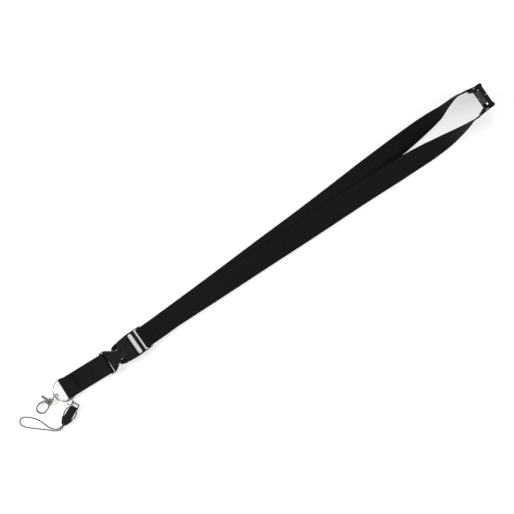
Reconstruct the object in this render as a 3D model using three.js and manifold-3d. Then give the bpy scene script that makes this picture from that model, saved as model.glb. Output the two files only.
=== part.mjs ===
// Neck lanyard laid on a table: a 25 mm webbing loop with a breakaway clip at the
// nape, a side-release buckle, a short webbing tab with a split ring, a swivel
// lobster hook and a small quick-release buckle that carries a cord loop.
// Millimetres, +Z up, table at z = 0. +X runs from the hook towards the nape.

import * as THREE from 'three';
import { mergeVertices } from 'three/addons/utils/BufferGeometryUtils.js';
import Module from 'manifold-3d';

const wasm = await Module();
wasm.setup();

// ---------------------------------------------------------------- dimensions

const gap = 0.3;                 // air between pieces that nearly touch
const axisY = 3.6;               // the lanyard's centre line

const webbing = { width: 25, thickness: 1.1 };

const buckle = {
  endX: -217.6,                  // socket's outer end
  mouthX: -179.6,                // socket's mouth
  ladderEndX: -159.2,            // plug's outer end
  height: 8.2,
  wall: 1.6,
  slotHalf: 12.95,                // half length of the webbing slots
  barWidth: 2.4,                 // socket's webbing bar, along X
  barLow: 2.4,
  barHigh: 5.8,
  slotEndX: -211.6,
  windowX: -203.6,               // thumb windows, from here ...
  shoulderX: -192.0,             // ... to the shoulder that holds the barbs
};

const ladder = {
  low: 1.3,
  high: 6.9,
  wideSlot: [-178.3, -173.2],
  narrowSlot: [-169.4, -164.9],
  endBar: [-164.9, -161.7],
  endBarLow: 2.7,
  endBarHigh: 5.3,
  ridgePitch: 2.8,
};

const tab = {                    // short doubled webbing between socket and ring
  turn: THREE.MathUtils.degToRad(176.63),
  stitchAt: 40.2,                // distances from the socket's bar
  foldAt: 57.4,
  foldRadius: 2.55,
};

const ring = { at: 56.1, side: 0.25, radius: 13.4, wire: 1.5, coil: 0.85, pitch: 0.95, z: 2.65 };

const hook = {
  x: -285.45,
  y: 5.9,
  z: 3.05,
  turn: THREE.MathUtils.degToRad(175.2),
  eyeRadius: 3.2,
  eyeWire: 0.75,
  eyeTilt: THREE.MathUtils.degToRad(45),
  pivot: 8.8,
  bodyHeight: 5.8,
  clawHeight: 2.3,
  leverHeight: 1.7,
  bowX: 20.6,                    // middle of the round loop
  meet: 15.4,                    // from the pivot to the gate's tip
};

const smallRing = { x: -275.0, y: -8.8, z: 3.85, radius: 4.2, wire: 0.8, coil: 0.5, pitch: 0.55 };

const mini = {
  x: -270.2,
  y: -13.8,
  turn: THREE.MathUtils.degToRad(204.2),
  low: 0.1,
  high: 4.3,
  seam: 7.3,
  shoulder: 19.7,
  length: 28.8,
};

const clip = {
  inner: 307.1,
  outer: 312.3,
  height: 28.5,
  low: -7.5,
  high: 20.1,
  seam: 7.2,
  socketSlot: 2.1,
  plugSlot: 3.9,
  barWidth: 2.2,
  slotLow: 1.4,
  slotHigh: 27.1,
};

const cord = { diameter: 1.2, steps: 52 };

// ------------------------------------------------------------------ materials

const black = (colour, roughness) =>
  new THREE.MeshStandardMaterial({ color: colour, roughness, metalness: 0 });
const metal = (colour, roughness) =>
  new THREE.MeshStandardMaterial({ color: colour, roughness, metalness: 1 });

const looks = {
  webbing: () => black(0x1b1b1d, 0.85),
  thread: () => black(0x151517, 0.8),
  acetal: () => black(0x2a2a2c, 0.5),
  clipPlastic: () => black(0x232224, 0.5),
  nickel: () => metal(0xb9b2a8, 0.3),
  steel: () => metal(0xa8a39c, 0.35),
  cord: () => black(0x222224, 0.75),
};

// ------------------------------------------------------------ shape functions

function toSolid(geometry) {
  const bare = geometry.index ? geometry.toNonIndexed() : geometry.clone();
  bare.deleteAttribute('normal');
  bare.deleteAttribute('uv');
  const merged = mergeVertices(bare, 1e-4);
  return new wasm.Manifold(new wasm.Mesh({
    numProp: 3,
    vertProperties: new Float32Array(merged.attributes.position.array),
    triVerts: new Uint32Array(merged.index.array),
  }));
}

function toGeometry(solid) {
  const mesh = solid.getMesh();
  const geometry = new THREE.BufferGeometry();
  geometry.setAttribute('position', new THREE.BufferAttribute(mesh.vertProperties, 3));
  geometry.setIndex(new THREE.BufferAttribute(mesh.triVerts, 1));
  geometry.computeVertexNormals();
  return geometry;
}

const join = (...pieces) => toGeometry(pieces.map(toSolid).reduce((a, b) => a.add(b)));

function cut(base, ...tools) {
  return toGeometry(tools.map(toSolid).reduce((a, b) => a.subtract(b), toSolid(base)));
}

function box(x0, x1, y0, y1, z0, z1) {
  const shape = new THREE.BoxGeometry(x1 - x0, y1 - y0, z1 - z0);
  return shape.translate((x0 + x1) / 2, (y0 + y1) / 2, (z0 + z1) / 2);
}

const toVectors = (points) => points.map(([x, y]) => new THREE.Vector2(x, y));

// A plan outline raised from z0 to z1, with its rims bevelled inwards.
function slab(points, z0, z1, bevel = 0, holes = []) {
  const outline = toVectors(points);
  if (THREE.ShapeUtils.isClockWise(outline)) outline.reverse();
  const shape = new THREE.Shape(outline);
  shape.holes = holes.map((hole) => new THREE.Path(toVectors(hole)));
  const solid = new THREE.ExtrudeGeometry(shape, {
    depth: z1 - z0 - 2 * bevel,
    bevelEnabled: bevel > 0,
    bevelThickness: bevel,
    bevelSize: bevel,
    bevelOffset: -bevel,
    bevelSegments: 2,
  });
  return solid.translate(0, 0, z0 + bevel);
}

// Smooth run of points through a few hand-placed ones.
function smooth(points, count) {
  const curve = new THREE.SplineCurve(toVectors(points));
  return curve.getPoints(count).map((p) => [p.x, p.y]);
}

function arc(cx, cy, radius, from, to, count) {
  return Array.from({ length: count + 1 }, (_, i) => {
    const angle = THREE.MathUtils.degToRad(from + ((to - from) * i) / count);
    return [cx + radius * Math.cos(angle), cy + radius * Math.sin(angle)];
  });
}

// Closed outline from its upper half, which runs along +X with y measured from the axis.
function mirrored(half) {
  return [...half.map(([x, y]) => [x, -y]), ...[...half].reverse()];
}

// Straight slot along Y with round ends.
function slotOutline(x0, x1, halfLength, radius) {
  const end = [
    [x0, halfLength - radius],
    ...arc(x0 + radius, halfLength - radius, radius, 180, 90, 4).slice(1),
    ...arc(x1 - radius, halfLength - radius, radius, 90, 0, 4),
  ];
  return [...end.map(([x, y]) => [x, -y]), ...end.reverse()];
}

// Rod of round section along +X.
function rod(x0, x1, radius, sides = 16) {
  const shape = new THREE.CylinderGeometry(radius, radius, x1 - x0, sides);
  return shape.rotateZ(Math.PI / 2).translate((x0 + x1) / 2, 0, 0);
}

// Upright pin along +Z.
function pin(x, y, z0, z1, radius, sides = 16) {
  const shape = new THREE.CylinderGeometry(radius, radius, z1 - z0, sides);
  return shape.rotateX(Math.PI / 2).translate(x, y, (z0 + z1) / 2);
}

function sectionShape(width, height, sides) {
  const shape = new THREE.Shape();
  for (let i = 0; i < sides; i += 1) {
    const angle = (2 * Math.PI * (i + 0.5)) / sides;
    const x = (width / 2) * Math.sign(Math.cos(angle)) * Math.abs(Math.cos(angle)) ** 0.5;
    const y = (height / 2) * Math.sign(Math.sin(angle)) * Math.abs(Math.sin(angle)) ** 0.5;
    if (i === 0) shape.moveTo(x, y);
    else shape.lineTo(x, y);
  }
  shape.closePath();
  return shape;
}

function alongPath(shape, path, steps) {
  return new THREE.ExtrudeGeometry(shape, { steps, extrudePath: path, bevelEnabled: false });
}

// Two flat coils on top of each other; the wire climbs from one to the other in a jog.
class SplitRingCurve extends THREE.Curve {
  constructor(radius, pitch, startAngle) {
    super();
    Object.assign(this, { radius, pitch, startAngle });
  }

  getPoint(t, target = new THREE.Vector3()) {
    const jog = THREE.MathUtils.degToRad(24);
    const turned = t * (4 * Math.PI - jog * 1.3);
    const climb = THREE.MathUtils.smoothstep(turned, 2 * Math.PI - jog, 2 * Math.PI);
    const angle = this.startAngle + turned;
    return target.set(
      this.radius * Math.cos(angle),
      this.radius * Math.sin(angle),
      this.pitch * (climb - 0.5),
    );
  }
}

function splitRing({ radius, wire, coil, pitch }, steps, startAngle) {
  const path = new SplitRingCurve(radius, pitch, startAngle);
  return alongPath(sectionShape(coil, wire, 8), path, steps);
}

// Flat band bent along stations [x, y, z, tilt], where tilt is how far its +Y edge
// has turned up. Every station cuts the band square.
function band(stations, width, thickness, perSpan) {
  const spans = (stations.length - 1) * perSpan;
  const path = new THREE.CatmullRomCurve3(stations.map(([x, y, z]) => new THREE.Vector3(x, y, z)));
  const tilts = new THREE.SplineCurve(stations.map(([, , , tilt], i) => new THREE.Vector2(i, tilt)));
  const solid = new THREE.BoxGeometry(1, width, thickness, spans, 1, 1);
  const spots = solid.attributes.position;
  for (let i = 0; i < spots.count; i += 1) {
    const t = Math.round((spots.getX(i) + 0.5) * spans) / spans;
    const centre = path.getPoint(t);
    const along = path.getTangent(t);
    const tilt = THREE.MathUtils.degToRad(tilts.getPoint(t).y);
    const across = new THREE.Vector3(0, Math.cos(tilt), Math.sin(tilt));
    across.addScaledVector(along, -across.dot(along)).normalize();
    const up = new THREE.Vector3().crossVectors(along, across);
    centre.addScaledVector(across, spots.getY(i)).addScaledVector(up, spots.getZ(i));
    spots.setXYZ(i, centre.x, centre.y, centre.z);
  }
  return solid;
}

function mesh(name, geometry, material) {
  const piece = new THREE.Mesh(geometry, material);
  piece.name = name;
  return piece;
}

function placed(group, x, y, z, turn) {
  group.position.set(x, y, z);
  group.rotation.z = turn;
  return group;
}

// ----------------------------------------------------------- neck loop webbing

const edgeUp = webbing.width / 2;
const skin = webbing.thickness / 2;

// Height of the band's middle when its low edge lies on the table.
const restZ = (tilt, lift = 0.1) => {
  const angle = THREE.MathUtils.degToRad(tilt);
  return lift + edgeUp * Math.sin(angle) + skin * Math.cos(angle);
};

// The two runs leave the ladder one over the other, drift apart, then each turns
// on edge and goes round its half of the breakaway clip.
function neckStrapLeft() {
  const run = [
    [-73.3, 5.4, 0], [-27.3, 6.9, 0], [18.7, 8.4, 0], [64.7, 9.7, 0], [110.7, 11.6, 3],
    [133.7, 12.8, 7], [156.7, 14.0, 12], [179.7, 15.1, 18], [202.7, 16.3, 26], [225.7, 17.8, 36],
    [237.2, 18.5, 42.5], [248.7, 19.1, 50], [260.2, 19.9, 60], [271.7, 22.0, 72], [283.2, 23.7, 83],
  ];
  const upright = [
    [290.1, 23.8, 12.9], [295.0, 23.1, 13.4], [300.5, 21.9, 14.0], [304.5, 21.15, 14.25],
    [308, 21.05, 14.25], [311.4, 21.05, 14.25], [312.95, 20.6, 14.25], [313.3, 19.0, 14.25],
    [312.95, 17.4, 14.25], [311.4, 16.95, 14.25], [308, 16.95, 14.25], [305.6, 17.4, 14.25],
    [303.2, 18.9, 14.2], [300.4, 20.35, 14.0],
  ];
  return band([
    [-150.5, 3.6, 2.05, 0], [-142.3, 3.7, 2.05, 0], [-134.5, 3.9, 2.0, 0], [-129.5, 4.0, 1.3, 0],
    [-124.5, 4.1, 0.66, 0], [-112, 4.4, 0.65, 0],
    ...run.map(([x, y, tilt]) => [x, y, restZ(tilt), tilt]),
    ...upright.map(([x, y, z]) => [x, y, z, 90]),
  ], webbing.width, webbing.thickness, 3);
}

function neckStrapRight() {
  const wrap = [
    [-136, 3.6, 0.65], [-149, 3.6, 0.65], [-156.5, 3.6, 0.95], [-160.8, 3.6, 1.6],
    [-164.4, 3.6, 1.72], [-166.15, 3.6, 2.3], [-166.7, 3.6, 4.0], [-166.15, 3.6, 5.7],
    [-164.4, 3.6, 6.28], [-160.8, 3.6, 6.1], [-156.5, 3.6, 4.9], [-152, 3.6, 3.7],
    [-147, 3.6, 3.48], [-137, 3.7, 3.45], [-131, 3.8, 3.0], [-124, 3.85, 2.15],
    [-112, 3.5, 2.05], [-73.3, 2.15, 2.05], [-27.3, 0.7, 2.05], [18.7, -0.75, 2.05],
    [64.7, -2.35, 2.05],
  ];
  const run = [
    [110.7, -3.5, 2, 1.5], [133.7, -4.2, 4, 1.5], [156.7, -5.2, 8, 1.3], [179.7, -6.4, 13, 0.9],
    [202.7, -7.6, 21, 0.4], [225.7, -9.4, 33, 0.1], [237.2, -10.3, 42, 0.1],
    [248.7, -10.9, 50, 0.1], [260.2, -11.3, 60, 0.1], [271.7, -11.2, 70, 0.1],
    [283.2, -10.5, 81, 0.1],
  ];
  const upright = [
    [290, -9.7, 12.9], [295, -9.2, 13.4], [300.5, -8.7, 14.0], [304.5, -8.5, 14.25],
    [308, -8.45, 14.25], [311.4, -8.45, 14.25], [312.95, -8.0, 14.25], [313.3, -6.4, 14.25],
    [312.95, -4.8, 14.25], [311.4, -4.35, 14.25], [308, -4.35, 14.25], [305.6, -4.75, 14.25],
    [303.2, -5.9, 14.2], [300.4, -7.1, 14.0], [297.0, -7.55, 13.6],
  ];
  return band([
    ...wrap.map(([x, y, z]) => [x, y, z, 0]),
    ...run.map(([x, y, tilt, lift]) => [x, y, restZ(tilt, lift), tilt]),
    ...upright.map(([x, y, z]) => [x, y, z, 90]),
  ], webbing.width, webbing.thickness, 3);
}

// Thread that sews layers together: a flat rectangle of stitching with a cross bar.
function seam(x0, x1, halfWidth, y, z) {
  const thread = 0.7;
  const height = 0.25;
  const middle = (x0 + x1) / 2;
  const inside = [y - halfWidth + thread, y + halfWidth - thread, z - 1, z + 1];
  return cut(
    box(x0, x1, y - halfWidth, y + halfWidth, z, z + height),
    box(x0 + thread, middle - thread / 2, ...inside),
    box(middle + thread / 2, x1 - thread, ...inside),
  );
}

// ------------------------------------------------------------ breakaway clip

// Upright plate across the lanyard, with a webbing slot next to its outer bar.
function clipSocket() {
  const { inner, outer, seam: joint, high, slotLow, slotHigh, socketSlot, barWidth } = clip;
  const plate = slab(
    [[inner, joint], [outer, joint], [outer, high], [inner, high]], 0, clip.height, 0.7,
  );
  const [slotFrom, slotTo] = [high - barWidth - socketSlot, high - barWidth];
  const slot = box(inner - 1, outer + 1, slotFrom, slotTo, slotLow, slotHigh);
  const pocket = box(inner + 1.1, outer - 1.1, joint - 1, joint + 5.9, 5.8, 22.7);
  return cut(plate, slot, pocket);
}

function clipPlug() {
  const { inner, outer, low, slotLow, slotHigh, plugSlot, barWidth } = clip;
  const joint = clip.seam - gap;
  const plate = slab(
    [[inner, low], [outer, low], [outer, joint], [inner, joint]], 0, clip.height, 0.7,
  );
  const [slotFrom, slotTo] = [low + barWidth, low + barWidth + plugSlot];
  const slot = box(inner - 1, outer + 1, slotFrom, slotTo, slotLow, slotHigh);
  const rimStep = box(outer - 1.7, outer + 1, low + 1.2, joint + 1, clip.height - 0.8, clip.height + 1);
  const tongue = box(inner + 1.4, outer - 1.4, joint - 2, joint + 5.8, 6.2, 22.3);
  return join(cut(plate, slot, rimStep), tongue);
}

// --------------------------------------------------------- side-release buckle

function buckleSocket() {
  const { endX, mouthX, height, wall, windowX, shoulderX, slotHalf, barWidth } = buckle;
  const half = [
    [endX, 11.4], [endX + 0.6, 12.9], [endX + 1.9, 13.9], [endX + 3.4, 14.1],
    ...smooth([[-211.2, 13.9], [-207.3, 11.6], [windowX, 8.7]], 5),
    ...smooth([[-202.4, 7.6], [-198.6, 5.8], [-195.0, 6.6], [-193.1, 9.2], [shoulderX, 12.6]], 10),
    [shoulderX + 0.6, 13.4], [mouthX, 14.4],
  ];
  const shell = slab(mirrored(half), 0, height, 1.1);
  const cavity = slab(mirrored([
    [windowX + 0.6, 11.9], [shoulderX, 11.9], [mouthX + 1, 12.65],
  ]), wall, height - wall);
  const slot = slab(slotOutline(endX + barWidth, buckle.slotEndX, slotHalf, 0.3), -1, height + 1);
  const aboveBar = box(endX - 1, endX + barWidth + 0.6, -slotHalf, slotHalf, buckle.barHigh, height + 1);
  const belowBar = box(endX - 1, endX + barWidth + 0.6, -slotHalf, slotHalf, -1, buckle.barLow);
  return cut(shell, cavity, slot, aboveBar, belowBar);
}

function buckleFrame() {
  const { mouthX, ladderEndX, slotHalf } = buckle;
  const start = mouthX + gap;
  const half = [
    [start, 14.1], [start + 1.2, 14.4], [-172, 14.35], [-164, 14.1],
    [ladderEndX - 1.4, 13.8], [ladderEndX - 0.3, 13.4], [ladderEndX, 12.9],
  ];
  const plate = slab(mirrored(half), ladder.low, ladder.high, 0.5);
  const root = box(start - 3.5, start + 0.4, -12, 12, 1.9, 6.3);
  const guide = slab(mirrored([
    [-199.4, 1.2], [-198.2, 2.4], [start - 3, 2.4],
  ]), 2.4, 5.8);
  const body = cut(
    join(plate, root, guide),
    slab(slotOutline(...ladder.wideSlot, 12.6, 1.8), -1, 9),
    slab(slotOutline(...ladder.narrowSlot, slotHalf, 0.3), -1, 9),
    box(ladder.endBar[1], ladderEndX + 1, -slotHalf, slotHalf, -1, 9),
    box(ladder.endBar[0] - 0.1, ladder.endBar[1] + 0.1, -slotHalf, slotHalf, ladder.endBarHigh, 9),
    box(ladder.endBar[0] - 0.1, ladder.endBar[1] + 0.1, -slotHalf, slotHalf, -1, ladder.endBarLow),
  );
  const ridges = [];
  for (let i = -4; i <= 4; i += 1) {
    const y = i * ladder.ridgePitch;
    ridges.push(box(ladder.wideSlot[1] + 0.6, ladder.narrowSlot[0] - 0.6, y - 0.7, y + 0.7, 6.4, 7.5));
  }
  return join(body, ...ridges);
}

// Spring arm with a barb behind the shoulder and a thumb pad in the window.
function buckleArm(side) {
  const flip = (points) => points.map(([x, y]) => [x, y * side]);
  const arm = flip([
    [-183.4, 9.0], [-183.4, 11.6], [-190.0, 11.2], [-192.35, 11.0], [-192.45, 12.7], [-194.0, 12.9],
    [-198.0, 12.1], [-201.2, 10.6], [-202.5, 9.0], [-202.2, 7.6], [-198.5, 8.5], [-194, 9.1],
    [-190, 9.0],
  ]);
  const pad = flip([
    [-193.4, 10.3], [-193.6, 12.7], [-196.0, 12.75], [-198.8, 11.9], [-201.0, 10.8], [-200.8, 9.6],
    [-197.0, 9.6],
  ]);
  return join(slab(arm, 1.9, 6.3), slab(pad, 0.9, 7.3));
}

// -------------------------------------------------------------- webbing tab

// Doubled webbing in side view (distance from the socket's bar, height), pulled
// out across its width. It holds the bar at one end and the split ring at the other.
function tabBand() {
  const bend = tab.foldAt - tab.foldRadius;
  const middle = ring.z;
  const outer = [
    ...arc(-1.15, 4.1, 3.1, 250, 110, 10).map(([x, z]) => [x * 0.85 - 0.1, z]),
    [1.6, 7.1], ...smooth([[5, 5.9], [9, 4.1], [13, 2.9], [18, 2.45]], 6),
    [38.8, 2.45], [39.6, 3.4], [40.6, 4.6], [41.8, 5.2],
    ...arc(bend, middle, tab.foldRadius, 90, -90, 10),
    ...smooth([[18, 0.1], [12, 0.35], [6, 1.0], [1.6, 1.1]], 6),
  ];
  const barLoop = [
    [-1.9, 2.2], [-2.5, 2.8], [-2.65, 4.1], [-2.5, 5.4], [-1.9, 6.0], [1.6, 6.0], [4.6, 4.9], [8.5, 3.0], [4.6, 2.3], [1.6, 2.2],
  ];
  const ringLoop = [
    [tab.stitchAt - 0.2, 1.3], [41.1, 3.4], [42.1, 4.1], ...arc(bend, middle, 1.45, 90, -90, 8),
    [41.5, 1.2],
  ];
  const strip = slab(outer, -edgeUp, edgeUp, 0, [barLoop, ringLoop]).rotateX(Math.PI / 2);
  const corners = [-1, 1].map((side) => slab([
    [tab.foldAt + 1, side * (edgeUp - 1.5)], [tab.foldAt + 1, side * (edgeUp + 2)],
    [bend - 2.2, side * (edgeUp + 2)], [bend - 2.2, side * (edgeUp - 0.3)],
    [bend + 0.4, side * (edgeUp - 0.45)],
  ], -1, 9));
  return cut(strip, ...corners);
}

// ------------------------------------------------------------- lobster hook

// Drawn with the eye at the origin and the claw along +X; +Y is the thumb side.
function hookSwivel() {
  const { eyeRadius, eyeWire } = hook;
  const eye = new THREE.TorusGeometry(eyeRadius, eyeWire, 8, 24).rotateX(hook.eyeTilt);
  const post = rod(eyeRadius, 6.4, 1.0);
  const head = rod(5.85, 6.6, 1.6);
  const collar = rod(eyeRadius + 0.3, 4.75, 1.5);
  return join(eye, post, head, collar);
}

function hookBody() {
  const { bodyHeight, clawHeight, pivot, bowX, meet } = hook;
  const plan = [
    [5.05, -1.8], [5.6, -2.6], [8.4, -3.3], [11.4, -4.5], [12.6, -3.2], [12.3, 0.6],
    [13.6, 3.6], [14.2, 5.4], [10.6, 4.3], [8.0, 3.2], [5.6, 2.6], [5.05, 1.8],
  ];
  const block = slab(plan, -bodyHeight / 2, bodyHeight / 2, 0.8);
  const claw = [
    ...smooth([[11.2, 4.7], [14.5, 5.9], [18.5, 6.7]], 4),
    ...arc(bowX, 0, 6.8, 90, -75, 18),
    ...arc(bowX, 0, 4.7, -75, 84, 16),
    ...smooth([[18.0, 4.5], [14.5, 3.7], [12.4, 2.9]], 4),
  ];
  // the nose stops on a circle round the lever's pivot, so that the gate swings inside it
  const gateSide = slab([[pivot, 0], ...arc(pivot, 0, meet + gap, -62, 0, 14)], -3, 3);
  const bow = cut(slab(claw, -clawHeight / 2, clawHeight / 2, 0.35), gateSide);
  return cut(
    join(block, bow),
    box(7.0, 16, -8, 1.9, -1.8, 1.8),
    box(7.0, 11.9, 1.8, 8, -1.8, 1.8),
    rod(4.5, 5.6, 1.3),
    rod(5.55, 6.9, 1.9),
    pin(pivot, 0, -4, 4, 0.9),
  );
}

function hookLever() {
  const { pivot, leverHeight, bowX, meet } = hook;
  const low = -1.55;
  const plan = [
    ...arc(pivot, 0, 1.5, 150, 235, 5),
    [9.6, -2.5], ...smooth([[11.2, -4.0], [14.4, -5.6], [18.0, -6.5], [20.8, -6.7]], 5),
    ...arc(bowX, 0, 6.75, -82, -27, 7),
    ...arc(bowX, 0, 4.8, -27, -84, 6),
    ...smooth([[18.0, -4.6], [14.6, -3.6], [12.2, -1.4]], 4),
    [11.0, 1.6], [10.8, 3.6], [12.9, 10.3], [11.2, 11.3], [9.9, 10.8], [8.1, 4.2],
  ];
  const plate = slab(plan, low, low + leverHeight, 0.2);
  const grips = [5.6, 7.2, 8.8].map((y) => {
    const x = 10.4 + (y - 5.6) * 0.3;
    return box(x - 1.4, x + 1.4, y - 0.35, y + 0.35, low + 0.5, low + leverHeight + 0.35);
  });
  const beyond = slab(
    [...arc(pivot, 0, meet, -60, 10, 14), ...arc(pivot, 0, meet + 9, 10, -60, 8)], -3, 3,
  );
  return cut(join(plate, ...grips), pin(pivot, 0, -4, 4, 0.9), beyond);
}

function hookPin() {
  return pin(hook.pivot, 0, -hook.bodyHeight / 2 + 0.1, hook.bodyHeight / 2 - 0.1, 0.65);
}

// Return spring wound on the pin, above the lever.
class CoilCurve extends THREE.Curve {
  getPoint(t, target = new THREE.Vector3()) {
    const angle = t * 2.75 * 2 * Math.PI;
    return target.set(1.25 * Math.cos(angle), 1.25 * Math.sin(angle), 0.55 + t * 2.75 * 0.3);
  }
}

function hookSpring() {
  return alongPath(sectionShape(0.28, 0.28, 6), new CoilCurve(), 40).translate(hook.pivot, 0, 0);
}

// ----------------------------------------------------------- small buckle

// Drawn along +X from the slotted head to the cord end.
function miniPlug() {
  const half = [[0, 4.3], [0.4, 4.7], [3.6, 4.75], [5.8, 5.1], [mini.seam, 4.7]];
  const plate = slab(mirrored(half), 0.5, 4.2, 0.3);
  const slot = slab(slotOutline(1.0, 4.5, 3.6, 0.6), -1, 9);
  const belowHead = box(-1, 5.2, -6, 6, 0, 2.4);
  const tongue = box(mini.seam - 0.5, 16.5, -2.4, 2.4, 1.25, 3.1);
  return join(cut(plate, slot, belowHead), tongue);
}

function miniArm(side) {
  const outer = smooth([[8.0, 5.2], [10.2, 6.7], [14.6, 7.3], [18.2, 6.5], [19.6, 5.5]], 10);
  const inner = smooth([[19.3, 4.75], [17.6, 5.5], [14.6, 6.2], [11.2, 5.8], [9.2, 4.85]], 10);
  const plan = [[7.7, 4.9], ...outer, [21.2, 5.15], [21.2, 4.5], ...inner];
  return slab(plan.map(([x, y]) => [x, y * side]), 1.2, 3.3);
}

function miniSocket() {
  const { seam: start, shoulder, length, low, high } = mini;
  const half = [
    [start + gap, 4.2], [start + 0.9, 4.5], [shoulder, 4.5], [shoulder + 0.1, 5.9], [21.6, 6.0],
    [25.4, 4.4], [length - 0.5, 2.9], [length, 2.3],
  ];
  const shell = slab(mirrored(half), low, high, 0.4);
  const pocket = box(start - 1, 17.2, -2.75, 2.75, 0.95, 3.4);
  const sockets = [-1, 1].map((side) => {
    const [y0, y1] = [3.8 * side, 5.7 * side].sort((a, b) => a - b);
    return box(shoulder - 0.6, 21.6, y0, y1, 0.9, 3.6);
  });
  const cordHole = box(24.2, length + 1, -1.65, 1.65, 1.1, 3.2);
  return cut(shell, pocket, ...sockets, cordHole);
}

// Sleeve that grips both ends of the cord inside the small buckle.
function cordCrimp() {
  return slab(mirrored([[24.6, 1.2], [26.6, 1.2]]), 1.35, 2.95, 0.2);
}

// ------------------------------------------------------------------ cord loop

const cordRoute = [
  [-294.9, -24.3, 2.15], [-297.3, -25.3, 1.95], [-301.4, -26.35, 0.95], [-305.6, -25.8, 0.65],
  [-309.3, -23.1, 0.65], [-312.3, -18.9, 0.65], [-314.6, -12.4, 0.65], [-316.9, -6.2, 0.65],
  [-320.7, -0.1, 0.65], [-326.2, 5.3, 0.65], [-331.6, 8.1, 0.65], [-335.8, 6.3, 0.65],
  [-336.9, 1.9, 0.65], [-334.6, -2.5, 0.65], [-330.0, -7.1, 0.65], [-325.8, -11.0, 0.65],
  [-320.3, -15.7, 0.65], [-315.2, -20.1, 0.65], [-310.4, -24.9, 0.65], [-305.9, -27.7, 0.65],
  [-301.4, -28.2, 0.95], [-297.9, -26.8, 1.95], [-295.6, -25.8, 2.15],
];

function phoneCord() {
  const route = new THREE.CatmullRomCurve3(cordRoute.map((p) => new THREE.Vector3(...p)));
  const section = new THREE.Shape(
    arc(0, 0, cord.diameter / 2, 0, 315, 7).map(([x, y]) => new THREE.Vector2(x, y)),
  );
  return alongPath(section, route, cord.steps);
}

// ------------------------------------------------------------------- assembly

const lanyard = new THREE.Group();

lanyard.add(
  mesh('neck_strap_left', neckStrapLeft(), looks.webbing()),
  mesh('neck_strap_right', neckStrapRight(), looks.webbing()),
  mesh('neck_seam', seam(-149, -131.5, 10.5, 3.6, 4.25), looks.thread()),
  mesh('clip_socket', clipSocket(), looks.clipPlastic()),
  mesh('clip_plug', clipPlug(), looks.clipPlastic()),
);

const mainBuckle = placed(new THREE.Group(), 0, axisY, 0, 0);
mainBuckle.add(
  mesh('buckle_socket', buckleSocket(), looks.acetal()),
  mesh('buckle_frame', buckleFrame(), looks.acetal()),
  mesh('buckle_arm_left', buckleArm(1), looks.acetal()),
  mesh('buckle_arm_right', buckleArm(-1), looks.acetal()),
);
lanyard.add(mainBuckle);

const barX = buckle.endX + buckle.barWidth / 2;
const tabGroup = placed(new THREE.Group(), barX, axisY, 0, tab.turn);
tabGroup.add(
  mesh('tab_strap', tabBand(), looks.webbing()),
  mesh('tab_seam', seam(22, 38.2, 10.8, 0, 2.65), looks.thread()),
);
const carrierRing = mesh('carrier_ring', splitRing(ring, 60, 0.9), looks.nickel());
carrierRing.position.set(ring.at, ring.side, ring.z);
tabGroup.add(carrierRing);
lanyard.add(tabGroup);

const hookGroup = placed(new THREE.Group(), hook.x, hook.y, hook.z, hook.turn);
hookGroup.rotation.x = Math.PI;     // thumb side towards +Y
hookGroup.add(
  mesh('hook_swivel', hookSwivel(), looks.nickel()),
  mesh('hook_body', hookBody(), looks.nickel()),
  mesh('hook_lever', hookLever(), looks.nickel()),
  mesh('hook_lever_pin', hookPin(), looks.steel()),
  mesh('hook_lever_spring', hookSpring(), looks.steel()),
);
lanyard.add(hookGroup);

const linkRing = mesh('small_ring', splitRing(smallRing, 40, 2.2), looks.nickel());
linkRing.position.set(smallRing.x, smallRing.y, smallRing.z);
linkRing.rotation.set(0, THREE.MathUtils.degToRad(51), THREE.MathUtils.degToRad(12), 'ZYX');
lanyard.add(linkRing);

const miniGroup = placed(new THREE.Group(), mini.x, mini.y, 0, mini.turn);
miniGroup.add(
  mesh('mini_plug', miniPlug(), looks.acetal()),
  mesh('mini_arm_left', miniArm(1), looks.acetal()),
  mesh('mini_arm_right', miniArm(-1), looks.acetal()),
  mesh('mini_socket', miniSocket(), looks.acetal()),
  mesh('cord_crimp', cordCrimp(), looks.steel()),
);
lanyard.add(miniGroup);
lanyard.add(mesh('phone_cord', phoneCord(), looks.cord()));

lanyard.position.set(-0.545, 0.01, 0);  // brings the footprint's centre to the origin

export default lanyard;
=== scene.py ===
import math
import bpy
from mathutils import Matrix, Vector


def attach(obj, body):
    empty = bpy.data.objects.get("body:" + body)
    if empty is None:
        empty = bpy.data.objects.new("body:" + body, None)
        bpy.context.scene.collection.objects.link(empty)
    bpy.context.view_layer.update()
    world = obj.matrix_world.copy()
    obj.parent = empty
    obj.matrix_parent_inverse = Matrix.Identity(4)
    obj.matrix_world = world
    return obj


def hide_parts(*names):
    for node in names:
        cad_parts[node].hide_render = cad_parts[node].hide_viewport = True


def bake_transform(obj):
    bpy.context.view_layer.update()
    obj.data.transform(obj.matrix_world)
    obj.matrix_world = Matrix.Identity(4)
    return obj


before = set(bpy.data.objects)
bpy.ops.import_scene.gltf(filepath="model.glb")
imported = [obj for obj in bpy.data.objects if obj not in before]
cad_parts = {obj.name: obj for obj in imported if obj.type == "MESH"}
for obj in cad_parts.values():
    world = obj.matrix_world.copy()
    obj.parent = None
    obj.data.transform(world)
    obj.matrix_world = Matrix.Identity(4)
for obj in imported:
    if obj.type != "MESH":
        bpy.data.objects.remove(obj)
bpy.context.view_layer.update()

mm = 0.001
shiftX, shiftY = -0.545, 0.01   # the frame's own shift, mm

# camera, light and floor

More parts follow.
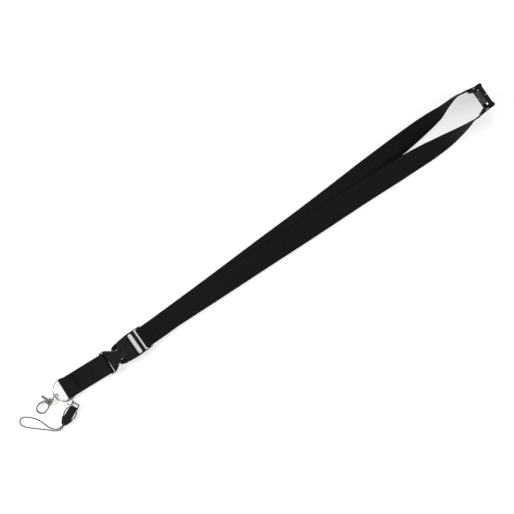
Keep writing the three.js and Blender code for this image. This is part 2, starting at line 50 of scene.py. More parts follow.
studio = {
    "cameraHeight": 1.15,
    "lens": 70.05,
    "aimX": -4.85, "aimY": 4.65,     # mm
    "turn": -35.0,
    "keyPlace": (-1.25, 0.95, 0.9), "fillPlace": (1.2, -1.0, 1.0),
    "rimSize": 0.7, "rimPlace": (0.55, 0.9, 0.7), "rimAim": (0.25, 0, 0),
    "floorSize": 8, "floorDrop": 0.0004,
    "floorColour": (0.5, 0.5, 0.5, 1), "floorGlow": 0.6,
    "keySize": 1.1, "keyPower": 36,
    "fillSize": 1.4, "fillPower": 20,
    "rimPower": 4,
    "skyLow": 0.14, "skyHigh": 0.42,
    "level": 0.92,
}


def makeCamera(s):
    bpy.ops.object.camera_add(location=(s["aimX"] * mm, s["aimY"] * mm, s["cameraHeight"]),
                              rotation=(0, 0, math.radians(s["turn"])))
    camera = bpy.context.object
    camera.data.sensor_width = 36
    camera.data.lens = s["lens"]
    camera.data.clip_start = 0.02
    bpy.context.scene.camera = camera


def addLight(name, size, power, place, aim=(0, 0, 0)):
    bpy.ops.object.light_add(type='AREA', location=place)
    light = bpy.context.object
    light.name = name
    light.data.shape = 'DISK'
    light.data.size = size
    light.data.energy = power
    light.rotation_euler = (Vector(aim) - Vector(place)).to_track_quat('-Z', 'Y').to_euler()


def makeStudio(s):
    bpy.ops.mesh.primitive_plane_add(size=s["floorSize"], location=(0, 0, -s["floorDrop"]))
    floor = bpy.context.object
    floor.name = "studioFloor"
    paper = bpy.data.materials.new("paleFloor")
    paper.use_nodes = True
    shader = paper.node_tree.nodes["Principled BSDF"]
    shader.inputs["Base Color"].default_value = s["floorColour"]
    shader.inputs["Roughness"].default_value = 0.9
    shader.inputs["Emission Color"].default_value = (1, 1, 1, 1)
    shader.inputs["Emission Strength"].default_value = s["floorGlow"]
    floor.data.materials.append(paper)
    addLight("keyLight", s["keySize"], s["keyPower"] * s["level"], s["keyPlace"])
    addLight("fillLight", s["fillSize"], s["fillPower"] * s["level"], s["fillPlace"])
    addLight("rimLight", s["rimSize"], s["rimPower"] * s["level"], s["rimPlace"], s["rimAim"])
    world = bpy.data.worlds.new("studioWorld")
    world.use_nodes = True
    tree = world.node_tree
    # a sky that darkens towards the horizon, so that bright metal keeps its contrast
    coord = tree.nodes.new('ShaderNodeTexCoord')
    parts = tree.nodes.new('ShaderNodeSeparateXYZ')
    fade = tree.nodes.new('ShaderNodeMapRange')
    fade.inputs["To Min"].default_value = s["skyLow"] * s["level"]
    fade.inputs["To Max"].default_value = s["skyHigh"] * s["level"]
    tree.links.new(coord.outputs["Generated"], parts.inputs[0])
    tree.links.new(parts.outputs[2], fade.inputs["Value"])
    tree.nodes["Background"].inputs["Color"].default_value = (1, 1, 1, 1)
    tree.links.new(fade.outputs[0], tree.nodes["Background"].inputs["Strength"])
    bpy.context.scene.world = world
    bpy.context.scene.view_settings.view_transform = 'Standard'


def deselectAll():
    for o in bpy.context.selected_objects:
        o.select_set(False)


def selectOnly(obj):
    deselectAll()
    obj.select_set(True)
    bpy.context.view_layer.objects.active = obj


deselectAll()
makeCamera(studio)
makeStudio(studio)
print("studio ready")

# shader groups


def newGroup(name, inputs, outputs):
    group = bpy.data.node_groups.new(name, 'ShaderNodeTree')
    for label, kind, value in inputs:
        socket = group.interface.new_socket(name=label, in_out='INPUT', socket_type=kind)
        socket.default_value = value
    for label, kind in outputs:
        group.interface.new_socket(name=label, in_out='OUTPUT', socket_type=kind)
    return group, group.nodes.new('NodeGroupInput'), group.nodes.new('NodeGroupOutput')


def mathNode(tree, operation, a, b=None, c=None):
    node = tree.nodes.new('ShaderNodeMath')
    node.operation = operation
    for index, value in enumerate((a, b, c)):
        if value is None:
            continue
        if hasattr(value, "links"):
            tree.links.new(value, node.inputs[index])
        else:
            node.inputs[index].default_value = value
    return node.outputs[0]


def makeWeaveGroup():
    # diagonal twill ribs: U runs across the width, V along it, both in millimetres
    group, start, end = newGroup("twillWeave", [
        ("Across", 'NodeSocketFloat', 0.0), ("Along", 'NodeSocketFloat', 0.0),
        ("Rib Pitch", 'NodeSocketFloat', 2.4), ("Yarn Pitch", 'NodeSocketFloat', 1.5),
        ("Slant", 'NodeSocketFloat', 0.5)],
        [("Height", 'NodeSocketFloat'), ("Rib", 'NodeSocketFloat'), ("Wander", 'NodeSocketFloat')])
    tree, links = group, group.links
    combine = tree.nodes.new('ShaderNodeCombineXYZ')
    links.new(start.outputs["Across"], combine.inputs[0])
    links.new(start.outputs["Along"], combine.inputs[1])
    noise = tree.nodes.new('ShaderNodeTexNoise')
    noise.inputs["Scale"].default_value = 0.35
    noise.inputs["Detail"].default_value = 3
    links.new(combine.outputs[0], noise.inputs["Vector"])
    wander = noise.outputs["Fac"]
    slant = mathNode(tree, 'MULTIPLY', start.outputs["Along"], start.outputs["Slant"])
    side = mathNode(tree, 'SUBTRACT', start.outputs["Across"], slant)
    side = mathNode(tree, 'ADD', side, mathNode(tree, 'MULTIPLY', wander, 0.5))
    turns = mathNode(tree, 'DIVIDE', mathNode(tree, 'MULTIPLY', side, 0.89), start.outputs["Rib Pitch"])
    rib = mathNode(tree, 'SINE', mathNode(tree, 'MULTIPLY', turns, 2 * math.pi))
    brick = mathNode(tree, 'MULTIPLY', mathNode(tree, 'FLOOR', turns), 0.5)
    yarnTurns = mathNode(tree, 'DIVIDE', start.outputs["Along"], start.outputs["Yarn Pitch"])
    yarnTurns = mathNode(tree, 'ADD', yarnTurns, brick)
    yarn = mathNode(tree, 'SINE', mathNode(tree, 'MULTIPLY', yarnTurns, 2 * math.pi))
    ribUp = mathNode(tree, 'MULTIPLY_ADD', rib, 0.5, 0.5)
    yarnUp = mathNode(tree, 'MULTIPLY_ADD', yarn, 0.5, 0.5)
    both = mathNode(tree, 'MULTIPLY', ribUp, mathNode(tree, 'MULTIPLY_ADD', yarnUp, 0.5, 0.6))
    links.new(both, end.inputs["Height"])
    links.new(both, end.inputs["Rib"])
    links.new(wander, end.inputs["Wander"])
    return group


def makeGrainGroup():
    # fine moulded or handled surface, with a few soft scuffs
    group, start, end = newGroup("surfaceGrain", [
        ("Vector", 'NodeSocketVector', (0, 0, 0)), ("Grain Scale", 'NodeSocketFloat', 2500.0),
        ("Scuff Scale", 'NodeSocketFloat', 180.0)],
        [("Grain", 'NodeSocketFloat'), ("Scuff", 'NodeSocketFloat')])
    fine = group.nodes.new('ShaderNodeTexNoise')
    fine.inputs["Detail"].default_value = 2
    group.links.new(start.outputs["Vector"], fine.inputs["Vector"])
    group.links.new(start.outputs["Grain Scale"], fine.inputs["Scale"])
    coarse = group.nodes.new('ShaderNodeTexNoise')
    coarse.inputs["Detail"].default_value = 5
    coarse.inputs["Distortion"].default_value = 0.6
    group.links.new(start.outputs["Vector"], coarse.inputs["Vector"])
    group.links.new(start.outputs["Scuff Scale"], coarse.inputs["Scale"])
    group.links.new(fine.outputs["Fac"], end.inputs["Grain"])
    ramp = group.nodes.new('ShaderNodeMapRange')
    ramp.inputs["From Min"].default_value = 0.5
    ramp.inputs["From Max"].default_value = 0.72
    group.links.new(coarse.outputs["Fac"], ramp.inputs["Value"])
    group.links.new(ramp.outputs[0], end.inputs["Scuff"])
    return group


weaveGroup = makeWeaveGroup()
grainGroup = makeGrainGroup()


def newMaterial(name):
    material = bpy.data.materials.new(name)
    material.use_nodes = True
    tree = material.node_tree
    return material, tree, tree.nodes["Principled BSDF"]


def placeGroup(tree, group, **values):
    node = tree.nodes.new('ShaderNodeGroup')
    node.node_tree = group
    for label, value in values.items():
        node.inputs[label.replace("_", " ")].default_value = value
    return node


def mixColours(tree, factor, a, b):
    mix = tree.nodes.new('ShaderNodeMix')
    mix.data_type = 'RGBA'
    mix.inputs[6].default_value = a
    mix.inputs[7].default_value = b
    tree.links.new(factor, mix.inputs[0])
    return mix.outputs[2]


def bumpFrom(tree, height, strength, distance):
    bump = tree.nodes.new('ShaderNodeBump')
    bump.inputs["Strength"].default_value = strength
    bump.inputs["Distance"].default_value = distance
    tree.links.new(height, bump.inputs["Height"])
    return bump.outputs["Normal"]


def webbingMaterial(name, valleyShade, crestHighlight, ribPitch, slant):
    material, tree, shader = newMaterial(name)
    uv = tree.nodes.new('ShaderNodeUVMap')
    uv.uv_map = "bandMap"
    parts = tree.nodes.new('ShaderNodeSeparateXYZ')
    tree.links.new(uv.outputs[0], parts.inputs[0])
    weave = placeGroup(tree, weaveGroup, Rib_Pitch=ribPitch, Yarn_Pitch=1.5, Slant=slant)
    tree.links.new(mathNode(tree, 'MULTIPLY', parts.outputs[0], 1000.0), weave.inputs["Across"])
    tree.links.new(mathNode(tree, 'MULTIPLY', parts.outputs[1], 1000.0), weave.inputs["Along"])
    # colour runs from the darker valley to the lighter crest of each rib: painted shade in the valleys and
    # painted highlight on the crests, with a little random tone from the wander noise
    ribShadeAndTone = mathNode(tree, 'MULTIPLY_ADD', weave.outputs["Rib"], 0.8,
                    mathNode(tree, 'MULTIPLY', weave.outputs["Wander"], 0.2))
    tree.links.new(mixColours(tree, ribShadeAndTone, valleyShade, crestHighlight), shader.inputs["Base Color"])
    shader.inputs["Roughness"].default_value = 0.7
    shader.inputs["Specular IOR Level"].default_value = 0.06
    shader.inputs["Sheen Weight"].default_value = 0.01
    shader.inputs["Sheen Roughness"].default_value = 0.5
    shader.inputs["Sheen Tint"].default_value = (0.75, 0.75, 0.8, 1)
    tree.links.new(bumpFrom(tree, weave.outputs["Height"], 1.0, 0.0003), shader.inputs["Normal"])
    return material


def plasticMaterial(name, colour, worn, roughness, grainScale, shine):
    material, tree, shader = newMaterial(name)
    coord = tree.nodes.new('ShaderNodeTexCoord')
    grain = placeGroup(tree, grainGroup, Grain_Scale=grainScale, Scuff_Scale=160.0)
    tree.links.new(coord.outputs["Object"], grain.inputs["Vector"])
    tree.links.new(mixColours(tree, grain.outputs["Scuff"], colour, worn), shader.inputs["Base Color"])
    rough = mathNode(tree, 'MULTIPLY_ADD', grain.outputs["Scuff"], 0.14, roughness)
    tree.links.new(rough, shader.inputs["Roughness"])
    shader.inputs["Specular IOR Level"].default_value = shine
    tree.links.new(bumpFrom(tree, grain.outputs["Grain"], 0.25, 0.00006), shader.inputs["Normal"])
    return material


def metalMaterial(name, colour, dull, roughness):
    material, tree, shader = newMaterial(name)
    coord = tree.nodes.new('ShaderNodeTexCoord')
    grain = placeGroup(tree, grainGroup, Grain_Scale=900.0, Scuff_Scale=260.0)
    tree.links.new(coord.outputs["Object"], grain.inputs["Vector"])
    tree.links.new(mixColours(tree, grain.outputs["Scuff"], colour, dull), shader.inputs["Base Color"])
    shader.inputs["Metallic"].default_value = 1.0
    rough = mathNode(tree, 'MULTIPLY_ADD', grain.outputs["Scuff"], 0.07, roughness)
    tree.links.new(rough, shader.inputs["Roughness"])
    tree.links.new(bumpFrom(tree, grain.outputs["Grain"], 0.12, 0.00004), shader.inputs["Normal"])
    return material


def braidMaterial(name, dark, light):
    # two sets of strands crossing round the cord; V runs along it in metres, U round it
    material, tree, shader = newMaterial(name)
    uv = tree.nodes.new('ShaderNodeUVMap')
    uv.uv_map = "bandMap"
    parts = tree.nodes.new('ShaderNodeSeparateXYZ')
    tree.links.new(uv.outputs[0], parts.inputs[0])
    turns = mathNode(tree, 'MULTIPLY', parts.outputs[1], 2 * math.pi / 0.0016)
    round4 = mathNode(tree, 'MULTIPLY', parts.outputs[0], 4 * 2 * math.pi)
    left = mathNode(tree, 'SINE', mathNode(tree, 'ADD', turns, round4))
    right = mathNode(tree, 'SINE', mathNode(tree, 'SUBTRACT', turns, round4))
    height = mathNode(tree, 'MULTIPLY_ADD', mathNode(tree, 'MAXIMUM', left, right), 0.5, 0.5)
    # colour darker in the gaps between the strands and lighter on their raised middles: painted shade and
    # painted highlight
    tree.links.new(mixColours(tree, height, dark, light), shader.inputs["Base Color"])
    shader.inputs["Roughness"].default_value = 0.62
    shader.inputs["Specular IOR Level"].default_value = 0.12
    tree.links.new(bumpFrom(tree, height, 0.7, 0.00012), shader.inputs["Normal"])
    return material


finishes = {
    # darker and lighter webbing colours: painted shade of the rib valleys and painted highlight of the
    # crests
    "webbing": webbingMaterial(
        "blackTwill", (0.0012, 0.0012, 0.0014, 1), (0.0135, 0.0133, 0.014, 1), 2.4, 0.51),
    "tabWebbing": webbingMaterial(
        "blackTwillTab", (0.0014, 0.0014, 0.0016, 1), (0.0165, 0.0165, 0.017, 1), 2.4, -0.51),
    # darker and lighter thread and cord colours: painted shade between the strands and painted highlight on
    # them
    "thread": braidMaterial("sewingThread", (0.002, 0.002, 0.0022, 1), (0.013, 0.013, 0.014, 1)),
    "cord": braidMaterial("braidedCord", (0.0008, 0.0008, 0.001, 1), (0.006, 0.006, 0.0065, 1)),
    "acetal": plasticMaterial("blackAcetal", (0.0035, 0.0035, 0.0038, 1), (0.008, 0.008, 0.0085, 1),
                              0.36, 2600.0, 0.3),
    "clipPlastic": plasticMaterial("blackClip", (0.0038, 0.0036, 0.004, 1), (0.008, 0.008, 0.0086, 1),
                                   0.5, 1900.0, 0.16),
    "nickel": metalMaterial("warmNickel", (0.52, 0.485, 0.44, 1), (0.43, 0.4, 0.36, 1), 0.2),
    "steel": metalMaterial("plainSteel", (0.34, 0.33, 0.31, 1), (0.25, 0.24, 0.23, 1), 0.32),
}
print("materials ready")

# webbing

webbing = {"width": 25.0, "thickness": 1.1, "rows": 26, "step": 1.1}


def catmull(points, t):
    spans = len(points) - 1
    at = min(max(t, 0), 0.999999) * spans
    i = int(at)
    f = at - i
    p1, p2 = points[i], points[i + 1]
    p0 = points[i - 1] if i > 0 else p1 * 2 - p2
    p3 = points[i + 2] if i + 2 < len(points) else p2 * 2 - p1
    return 0.5 * (2 * p1 + (p2 - p0) * f + (2 * p0 - 5 * p1 + 4 * p2 - p3) * f ** 2
                  + (3 * p1 - p0 - 3 * p2 + p3) * f ** 3)


def restZ(tilt, lift=0.1):
    angle = math.radians(tilt)
    return lift + webbing["width"] / 2 * math.sin(angle) + webbing["thickness"] / 2 * math.cos(angle)


def bandLine(stations):
    # evenly spaced (centre, across, up, distance) along a band; stations are x, y, z, tilt
    spots = [Vector((s[0] + shiftX, s[1] + shiftY, s[2])) for s in stations]
    tilts = [Vector((s[3], 0, 0)) for s in stations]
    fine = [catmull(spots, i / 3000) for i in range(3001)]
    run = [0.0]
    for a, b in zip(fine, fine[1:]):
        run.append(run[-1] + (b - a).length)
    count = max(8, int(run[-1] / webbing["step"]))
    line, k = [], 0
    for n in range(count + 1):
        want = run[-1] * n / count
        while k < 2999 and run[k + 1] < want:
            k += 1
        t = (k + (want - run[k]) / max(run[k + 1] - run[k], 1e-9)) / 3000
        along = (catmull(spots, min(t + 0.0006, 1)) - catmull(spots, max(t - 0.0006, 0))).normalized()
        tilt = math.radians(catmull(tilts, t).x)
        across = Vector((0, math.cos(tilt), math.sin(tilt)))
        across = (across - along * across.dot(along)).normalized()
        line.append((catmull(spots, t), across, along.cross(across), want))
    return line


def meshObject(name, verts, faces, uvs=None):
    mesh = bpy.data.meshes.new(name)
    mesh.from_pydata(verts, [], faces)
    if uvs:
        layer = mesh.uv_layers.new(name="bandMap")
        for loop in mesh.loops:
            layer.data[loop.index].uv = uvs[loop.vertex_index]
    mesh.validate()
    mesh.update()
    obj = bpy.data.objects.new(name, mesh)
    bpy.context.collection.objects.link(obj)
    return obj


def makeBand(name, line, finish, thin=None):
    # closed band with rounded selvedges and a slight crown, its section following the line
    half = webbing["width"] / 2
    thick = (thin or webbing["thickness"]) / 2
    rows = webbing["rows"]
    section = []
    for i in range(rows + 1):
        v = -1 + 2 * i / rows
        edge = max(0.0, 1 - abs(v)) * half
        section.append((v, thick * (0.45 + 0.55 * min(1, edge / 0.7) ** 0.5)))
    ring = [(v, z) for v, z in section] + [(v, -z) for v, z in reversed(section)]
    verts, uvs = [], []
    for centre, across, up, at in line:
        for v, z in ring:
            verts.append((centre + across * (v * half) + up * z) * mm)
            uvs.append((v * half * mm, at * mm))
    n, faces = len(ring), []
    for j in range(len(line) - 1):
        for i in range(n):
            a, b = j * n + i, j * n + (i + 1) % n
            faces.append((a, a + n, b + n, b))
    last = (len(line) - 1) * n
    for i in range(rows):
        a, b, c, d = i, i + 1, n - 2 - i, n - 1 - i
        faces.append((a, b, c, d))
        faces.append((last + d, last + c, last + b, last + a))
    obj = meshObject(name, verts, faces, uvs)
    selectOnly(obj)
    bpy.ops.object.mode_set(mode='EDIT')
    bpy.ops.mesh.select_all(action='SELECT')
    bpy.ops.mesh.normals_make_consistent(inside=False)
    bpy.ops.object.mode_set(mode='OBJECT')
    bpy.ops.object.shade_smooth_by_angle(angle=math.radians(50))
    obj.data.materials.append(finish)
    return obj


leftRun = [
    (-150.5, 3.6, 2.05, 0), (-142.3, 3.7, 2.05, 0), (-134.5, 3.9, 2.0, 0), (-129.5, 4.0, 1.3, 0),
    (-124.5, 4.1, 0.66, 0), (-112, 4.4, 0.65, 0)]
leftRun += [(x, y, restZ(tilt), tilt) for x, y, tilt in [
    (-73.3, 5.4, 0), (-27.3, 6.9, 0), (18.7, 8.4, 0), (64.7, 9.7, 0), (110.7, 11.6, 3),
    (133.7, 12.8, 7), (156.7, 14.0, 12), (179.7, 15.1, 18), (202.7, 16.3, 26), (225.7, 17.8, 36),
    (237.2, 18.5, 42.5), (248.7, 19.1, 50), (260.2, 19.9, 60), (271.7, 22.0, 72), (283.2, 23.7, 83)]]
leftRun += [(x, y, z, 90) for x, y, z in [
    (290.1, 23.8, 12.9), (295.0, 23.1, 13.4), (300.5, 21.9, 14.0), (304.5, 21.15, 14.25),
    (308, 21.05, 14.25), (311.4, 21.05, 14.25), (312.95, 20.6, 14.25), (313.3, 19.0, 14.25),
    (312.95, 17.4, 14.25), (311.4, 16.95, 14.25), (308, 16.95, 14.25), (305.6, 17.4, 14.25),
    (303.2, 18.9, 14.2), (300.4, 20.35, 14.0)]]

rightRun = [(x, y, z, 0) for x, y, z in [
    (-136, 3.6, 0.65), (-149, 3.6, 0.65), (-156.5, 3.6, 0.95), (-160.8, 3.6, 1.6),
    (-164.4, 3.6, 1.72), (-166.15, 3.6, 2.3), (-166.7, 3.6, 4.0), (-166.15, 3.6, 5.7),
    (-164.4, 3.6, 6.28), (-160.8, 3.6, 6.1), (-156.5, 3.6, 4.9), (-152, 3.6, 3.7),
    (-147, 3.6, 3.48), (-137, 3.7, 3.45), (-131, 3.8, 3.0), (-124, 3.85, 2.15),
    (-112, 3.5, 2.05), (-73.3, 2.15, 2.05), (-27.3, 0.7, 2.05), (18.7, -0.75, 2.05),
    (64.7, -2.35, 2.05)]]
rightRun += [(x, y, restZ(tilt, lift), tilt) for x, y, tilt, lift in [
    (110.7, -3.5, 2, 1.5), (133.7, -4.2, 4, 1.5), (156.7, -5.2, 8, 1.3), (179.7, -6.4, 13, 0.9),
    (202.7, -7.6, 21, 0.4), (225.7, -9.4, 33, 0.1), (237.2, -10.3, 42, 0.1),
    (248.7, -10.9, 50, 0.1), (260.2, -11.3, 60, 0.1), (271.7, -11.2, 70, 0.1), (283.2, -10.5, 81, 0.1)]]
rightRun += [(x, y, z, 90) for x, y, z in [
    (290, -9.7, 12.9), (295, -9.2, 13.4), (300.5, -8.7, 14.0), (304.5, -8.5, 14.25),
    (308, -8.45, 14.25), (311.4, -8.45, 14.25), (312.95, -8.0, 14.25), (313.3, -6.4, 14.25),
    (312.95, -4.8, 14.25), (311.4, -4.35, 14.25), (308, -4.35, 14.25), (305.6, -4.75, 14.25),
    (303.2, -5.9, 14.2), (300.4, -7.1, 14.0), (297.0, -7.55, 13.6)]]

leftLine = bandLine(leftRun)
rightLine = bandLine(rightRun)
leftStrap = makeBand("neckStrapLeft", leftLine, finishes["webbing"])
rightStrap = makeBand("neckStrapRight", rightLine, finishes["webbing"])
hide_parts("neck_strap_left")
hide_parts("neck_strap_right")
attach(leftStrap, "neck")
print("neck straps", round(leftLine[-1][3]), round(rightLine[-1][3]))

# short doubled tab

tab = {"turn": 176.63, "barX": -217.6 + 1.2, "barY": 3.6}


def tabPoint(x, y, z):
    angle = math.radians(tab["turn"])
    return Vector((tab["barX"] + x * math.cos(angle) - y * math.sin(angle) + shiftX,
                   tab["barY"] + x * math.sin(angle) + y * math.cos(angle) + shiftY, z))


def tabLine(stations):
    # side view points: distance from the buckle's bar, height
    spots = [tabPoint(x, 0, z) for x, z in stations]
    across = (tabPoint(0, 1, 0) - tabPoint(0, 0, 0)).normalized()
    fine = [catmull(spots, i / 2000) for i in range(2001)]
    run = [0.0]
    for a, b in zip(fine, fine[1:]):
        run.append(run[-1] + (b - a).length)
    count = int(run[-1] / 0.7)
    line, k = [], 0
    for n in range(count + 1):
        want = run[-1] * n / count
        while k < 1999 and run[k + 1] < want:
            k += 1
        t = (k + (want - run[k]) / max(run[k + 1] - run[k], 1e-9)) / 2000
        along = (catmull(spots, min(t + 0.001, 1)) - catmull(spots, max(t - 0.001, 0))).normalized()
        line.append((catmull(spots, t), across, along.cross(across), want))
    return line


tabStations = [
    (17.9, 1.87), (14.5, 2.0), (11, 2.5), (8, 3.55), (4.6, 5.35), (1.6, 6.5), (-1.2, 6.5),
    (-2.9, 5.7), (-3.2, 4.1), (-2.9, 2.5), (-1.2, 1.68), (1.6, 1.62), (6, 1.35), (12, 0.8),
    (18, 0.66), (26, 0.65), (40, 0.65), (50, 0.65), (54.9, 0.68), (56.4, 1.3), (56.85, 2.65),
    (56.4, 4.0), (54.9, 4.62), (50, 4.64), (43.2, 4.6), (41.4, 4.0), (40.1, 2.7), (38.6, 1.96),
    (34, 1.85), (26, 1.85), (18.2, 1.87)]
tabPath = tabLine(tabStations)
tabBand = makeBand("tabStrap", tabPath, finishes["tabWebbing"], thin=1.06)
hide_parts("tab_strap")
print("tab ready")

# stitching

stitching = {"length": 1.7, "gap": 0.9, "radius": 0.23}


def stitchRow(points, lift):
    # short rounded threads laid on a line of (point, normal) pairs
    verts, faces, uvs = [], [], []
    sides, rings = 6, 5
    along = 0.0
    for (a, up), (b, _) in zip(points, points[1:]):
        direction = (b - a).normalized()
        side = up.cross(direction).normalized()
        length = (b - a).length
        count = max(1, int(round(length / (stitching["length"] + stitching["gap"]))))
        pitch = length / count
        for n in range(count):
            middle = a + direction * (pitch * (n + 0.5))
            base = len(verts)
            for r in range(rings):
                t = -1 + 2 * r / (rings - 1)
                swell = stitching["radius"] * max(0.3, 1 - abs(t) ** 3)
                centre = middle + direction * (t * stitching["length"] / 2) + up * (lift - 0.12 * t * t)
                for s in range(sides):
                    angle = 2 * math.pi * s / sides
                    out = side * math.cos(angle) + up * math.sin(angle)
                    verts.append((centre + out * swell) * mm)
                    uvs.append((s / sides, (along + t) * mm))
            for r in range(rings - 1):
                for s in range(sides):
                    c, d = base + r * sides + s, base + r * sides + (s + 1) % sides
                    faces.append((c, d, d + sides, c + sides))
            faces.append(tuple(base + s for s in reversed(range(sides))))
            faces.append(tuple(base + (rings - 1) * sides + s for s in range(sides)))
            along += pitch
    return verts, faces, uvs


def makeStitches(name, rows, lift, body, node):
    verts, faces, uvs = [], [], []
    for points in rows:
        v, f, u = stitchRow(points, lift)
        base = len(verts)
        verts += v
        uvs += u
        faces += [tuple(i + base for i in face) for face in f]
    obj = meshObject(name, verts, faces, uvs)
    selectOnly(obj)
    bpy.ops.object.mode_set(mode='EDIT')
    bpy.ops.mesh.select_all(action='SELECT')
    bpy.ops.mesh.normals_make_consistent(inside=False)
    bpy.ops.object.mode_set(mode='OBJECT')
    bpy.ops.object.shade_smooth()
    obj.data.materials.append(finishes["thread"])
    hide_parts(node)
    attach(obj, body)
    return obj


upZ = Vector((0, 0, 1))


def flatLoop(points, z):
    return [(Vector((x + shiftX, y + shiftY, z)), upZ) for x, y in points]


neckRows = [
    flatLoop([(-149, -7.2), (-149, 14.4)], 4.03), flatLoop([(-146.6, -7.2), (-146.6, 14.4)], 4.03),
    flatLoop([(-134.8, -7.1), (-134.8, 14.5)], 3.98), flatLoop([(-132.6, -7.1), (-132.6, 14.5)], 3.7),
    flatLoop([(-146.6, -7.2), (-134.8, -7.1)], 4.0), flatLoop([(-146.6, 14.4), (-134.8, 14.5)], 4.0)]
makeStitches("neckStitches", neckRows, 0.12, "neck", "neck_seam")


def tabLoop(points, z):
    return [(tabPoint(x, y, z), upZ) for x, y in points]


tabRows = [
    tabLoop([(38.2, -11.4), (38.2, 11.4)], 2.42), tabLoop([(36.2, -11.4), (36.2, 11.4)], 2.4),
    tabLoop([(15.2, -11.4), (15.2, 11.4)], 2.44)]
makeStitches("tabStitches", tabRows, 0.12, "tab", "tab_seam")
print("stitches ready")

# cord loop

cordLoop = {"diameter": 1.2, "sides": 12, "steps": 260}
cordRoute = [
    (-294.9, -24.3, 2.15), (-297.3, -25.3, 1.95), (-301.4, -26.35, 0.95), (-305.6, -25.8, 0.65),
    (-309.3, -23.1, 0.65), (-312.3, -18.9, 0.65), (-314.6, -12.4, 0.65), (-316.9, -6.2, 0.65),
    (-320.7, -0.1, 0.65), (-326.2, 5.3, 0.65), (-331.6, 8.1, 0.65), (-335.8, 6.3, 0.65),
    (-336.9, 1.9, 0.65), (-334.6, -2.5, 0.65), (-330.0, -7.1, 0.65), (-325.8, -11.0, 0.65),
    (-320.3, -15.7, 0.65), (-315.2, -20.1, 0.65), (-310.4, -24.9, 0.65), (-305.9, -27.7, 0.65),
    (-301.4, -28.2, 0.95), (-297.9, -26.8, 1.95), (-295.6, -25.8, 2.15)]


def makeCord(c):
    spots = [Vector((x + shiftX, y + shiftY, z)) for x, y, z in cordRoute]
    path = [catmull(spots, i / c["steps"]) for i in range(c["steps"] + 1)]
    verts, faces, uvs = [], [], []
    at, radius, n = 0.0, c["diameter"] / 2, c["sides"]
    for i, p in enumerate(path):
        a, b = path[max(i - 1, 0)], path[min(i + 1, len(path) - 1)]
        along = (b - a).normalized()
        side = upZ.cross(along).normalized()
        top = along.cross(side)
        if i:
            at += (p - path[i - 1]).length
        for s in range(n):
            angle = 2 * math.pi * s / n
            verts.append((p + side * (radius * math.cos(angle)) + top * (radius * math.sin(angle))) * mm)
            uvs.append((s / n, at * mm))
    for i in range(len(path) - 1):
        for s in range(n):
            c0, c1 = i * n + s, i * n + (s + 1) % n
            faces.append((c0, c1, c1 + n, c0 + n))
    faces.append(tuple(reversed(range(n))))
    faces.append(tuple((len(path) - 1) * n + s for s in range(n)))
    obj = meshObject("phoneCord", verts, faces, uvs)
    selectOnly(obj)
    bpy.ops.object.mode_set(mode='EDIT')
    bpy.ops.mesh.select_all(action='SELECT')
    bpy.ops.mesh.normals_make_consistent(inside=False)
    bpy.ops.object.mode_set(mode='OBJECT')
    bpy.ops.object.shade_smooth()
    obj.data.materials.append(finishes["cord"])
    return obj, path, at


cordPiece, cordPath, cordLength = makeCord(cordLoop)
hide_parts("phone_cord")
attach(cordPiece, "loop")
print("cord", round(cordLength, 1))

# hardware

hardware = {
    # node: (body, finish, record slot, edge round in mm, smooth angle)
    "buckle_socket": ("tab", "acetal", "acetal", 0.28, 32),
    "buckle_frame": ("neck", "acetal", "acetal", 0.2, 32),
    "buckle_arm_left": ("arm_left", "acetal", "acetal", 0.25, 35),
    "buckle_arm_right": ("arm_right", "acetal", "acetal", 0.25, 35),
    "clip_socket": ("neck", "clipPlastic", "clip_plastic", 0.3, 32),
    "clip_plug": ("clip_half", "clipPlastic", "clip_plastic", 0.3, 32),
    "hook_body": ("hook", "nickel", "nickel", 0.18, 45),
    "hook_lever": ("lever", "nickel", "nickel", 0.16, 45),
    "hook_swivel": ("swivel", "nickel", "nickel", 0.1, 60),
    "mini_plug": ("small_plug", "acetal", "acetal", 0.18, 32),
    "mini_arm_left": ("small_arm_left", "acetal", "acetal", 0.2, 35),
    "mini_arm_right": ("small_arm_right", "acetal", "acetal", 0.2, 35),
    "mini_socket": ("loop", "acetal", "acetal", 0.2, 32),
}


def camelName(node):
    first, *rest = node.split("_")
    return first + "".join(word.capitalize() for word in rest)


def refine(node, body, finish, slotName, edge, angle):
    # the node's own shape with its flats merged and its edges rounded
    source = bpy.data.objects[node]
    obj = bpy.data.objects.new(camelName(node), source.data.copy())
    bpy.context.collection.objects.link(obj)
    obj.data.materials.clear()
    selectOnly(obj)
    bpy.ops.object.mode_set(mode='EDIT')
    bpy.ops.mesh.select_all(action='SELECT')
    bpy.ops.mesh.remove_doubles(threshold=0.000004)
    bpy.ops.mesh.dissolve_limited(angle_limit=math.radians(1.5))
    bpy.ops.object.mode_set(mode='OBJECT')
    bevel = obj.modifiers.new("edges", 'BEVEL')
    bevel.width = edge * mm
    bevel.segments = 2
    bevel.limit_method = 'ANGLE'
    bevel.angle_limit = math.radians(angle)
    bevel.use_clamp_overlap = True
    selectOnly(obj)
    bpy.ops.object.modifier_apply(modifier="edges")
    bpy.ops.object.shade_smooth_by_angle(angle=math.radians(angle))
    level = obj.modifiers.new("levelShading", 'WEIGHTED_NORMAL')
    level.weight = 80
    level.keep_sharp = True
    bpy.ops.object.modifier_apply(modifier="levelShading")
    obj.data.materials.append(finishes[finish])
    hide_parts(node)
    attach(obj, body)
    return obj


for node, choice in hardware.items():
    refine(node, *choice)
for node, finish in {"carrier_ring": "nickel", "small_ring": "nickel", "hook_lever_pin": "steel",
                     "hook_lever_spring": "steel", "cord_crimp": "steel"}.items():
    cadNode = bpy.data.objects[node]
    cadNode.data.materials.clear()
    cadNode.data.materials.append(finishes[finish])
print("hardware ready")

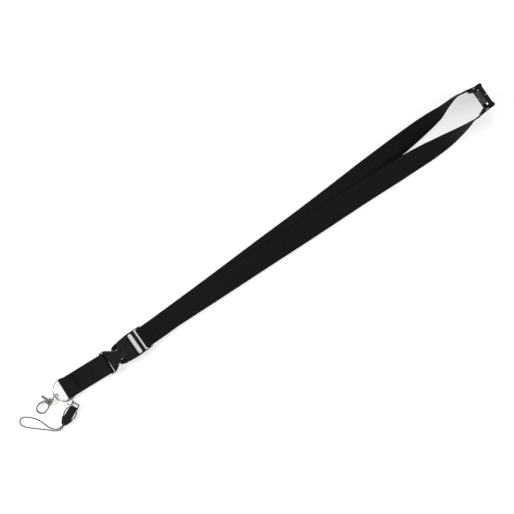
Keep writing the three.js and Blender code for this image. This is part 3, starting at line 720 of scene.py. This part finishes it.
# ribs that the thumbs press, painted shade sheets below the thumb windows, and the dark head of the hook's
# pin
gripRibs = {
    "middles": [(-194.7, 11.4), (-196.0, 11.2), (-197.3, 11.0), (-198.6, 10.75), (-199.8, 10.4)],
    "lengths": [2.1, 2.2, 2.0, 1.7, 1.2],
    "wide": 0.62, "proud": 0.28, "middleY": 3.61,
}
# painted shade: a thin dark sheet under each thumb window
windowShadeSheet = {"x": -196.6, "y": 8.3, "long": 10.4, "wide": 3.8, "thick": 0.35}
pinHead = {"x": -294.764, "y": 5.174, "radius": 1.05, "proud": 0.12}


def boundsOf(obj):
    spots = [obj.matrix_world @ v.co for v in obj.data.vertices]
    low = Vector([min(p[i] for p in spots) for i in range(3)]) / mm
    high = Vector([max(p[i] for p in spots) for i in range(3)]) / mm
    return low, high


def finishPiece(obj, width, finish, body):
    selectOnly(obj)
    bevel = obj.modifiers.new("edges", 'BEVEL')
    bevel.width = width * mm
    bevel.segments = 2
    bpy.ops.object.modifier_apply(modifier="edges")
    bpy.ops.object.transform_apply(location=True, rotation=True, scale=True)
    bpy.ops.object.shade_smooth_by_angle(angle=math.radians(40))
    obj.data.materials.append(finishes[finish])
    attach(obj, body)


def makeGripRibs(name, arm, body):
    low, high = boundsOf(bpy.data.objects[arm])
    side = 1 if (low.y + high.y) / 2 > gripRibs["middleY"] else -1
    made = []
    for (x, y), length in zip(gripRibs["middles"], gripRibs["lengths"]):
        place = Vector((x + shiftX, gripRibs["middleY"] + side * y, high.z)) * mm
        bpy.ops.mesh.primitive_cube_add(size=1, location=place)
        rib = bpy.context.object
        rib.scale = (gripRibs["wide"] * mm, length * mm, 2 * gripRibs["proud"] * mm)
        bpy.ops.object.transform_apply(location=True, rotation=True, scale=True)
        made.append(rib)
    deselectAll()
    for rib in made:
        rib.select_set(True)
    bpy.context.view_layer.objects.active = made[0]
    bpy.ops.object.join()
    made[0].name = name
    finishPiece(made[0], 0.12, "acetal", body)


def makeWindowShadeSheet(name, arm):
    # thin dark sheet below the window beside the thumb pad, seen through the window: painted shade that
    # keeps the window dark, not a known part of the socket
    low, high = boundsOf(bpy.data.objects[arm])
    side = 1 if (low.y + high.y) / 2 > gripRibs["middleY"] else -1
    place = Vector((windowShadeSheet["x"] + shiftX, gripRibs["middleY"] + side * windowShadeSheet["y"], low.z - 0.4)) * mm
    bpy.ops.mesh.primitive_cube_add(size=1, location=place)
    shadeSheet = bpy.context.object
    shadeSheet.name = name
    shadeSheet.scale = (windowShadeSheet["long"] * mm, windowShadeSheet["wide"] * mm, windowShadeSheet["thick"] * mm)
    bpy.ops.object.transform_apply(location=True, rotation=True, scale=True)
    finishPiece(shadeSheet, 0.08, "acetal", "tab")


def makePinHead(p):
    hook = bpy.data.objects["hook_body"]
    top = boundsOf(hook)[1].z
    place = Vector((p["x"], p["y"], top)) * mm
    bpy.ops.mesh.primitive_cylinder_add(vertices=32, radius=p["radius"] * mm, depth=2 * p["proud"] * mm,
                                        location=place)
    head = bpy.context.object
    head.name = "pinHead"
    finishPiece(head, 0.06, "acetal", "hook")


makeGripRibs("gripRibsLeft", "buckle_arm_left", "arm_left")
makeGripRibs("gripRibsRight", "buckle_arm_right", "arm_right")
makeWindowShadeSheet("windowShadeSheetLeft", "buckle_arm_left")
makeWindowShadeSheet("windowShadeSheetRight", "buckle_arm_right")
makePinHead(pinHead)
print("small parts ready")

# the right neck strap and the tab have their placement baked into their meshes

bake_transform(rightStrap)
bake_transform(tabBand)
